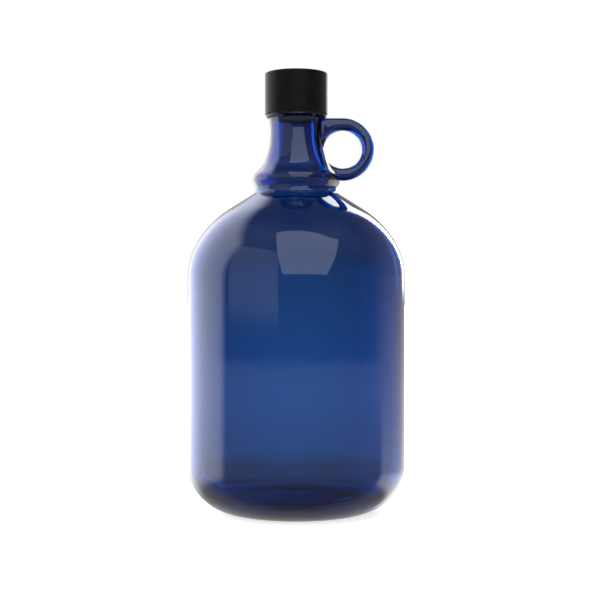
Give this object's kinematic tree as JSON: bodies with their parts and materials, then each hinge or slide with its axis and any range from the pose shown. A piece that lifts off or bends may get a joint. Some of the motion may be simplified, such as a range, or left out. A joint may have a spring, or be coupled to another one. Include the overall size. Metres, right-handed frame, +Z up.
{
  "type": "glass jug with finger ring",
  "caption": "Half-gallon round glass jug in clear blue glass with a finger ring at its collared neck and a smooth black screw cap.",
  "frame": {"origin": "centre of the ring that the jug stands on, in the plane of the table", "axes": "+Z up along the jug's axis; +X through the finger ring"},
  "size_m": [0.13, 0.13, 0.2637],
  "materials": {
    "blue_glass": "polished, smoke-free transparent blue",
    "black_cap": "fine satin moulded plastic",
    "liner_film": "smooth white polyester film",
    "liner_wad": "foamed white polyethylene"
  },
  "bodies": {
    "jug": {"glass_jug": "blue_glass", "finger_ring": "blue_glass"},
    "liner": {"liner_facing": "liner_film", "liner_backing": "liner_wad"},
    "cap": {"screw_cap": "black_cap"}
  },
  "joints": [
    {"name": "cap_lift", "type": "slide", "parent": "jug", "child": "liner", "axis": [0, 0, 1], "range_m": [0, 0.0064]},
    {"name": "cap_turn", "type": "hinge", "parent": "liner", "child": "cap", "pos_m": [0, 0, 0.25], "axis": [0, 0, 1], "range_deg": [0, 540]}
  ],
  "couplings": [
    {"joint": "cap_lift", "follows": "cap_turn", "m_per_rad": 0.0006737}
  ]
}
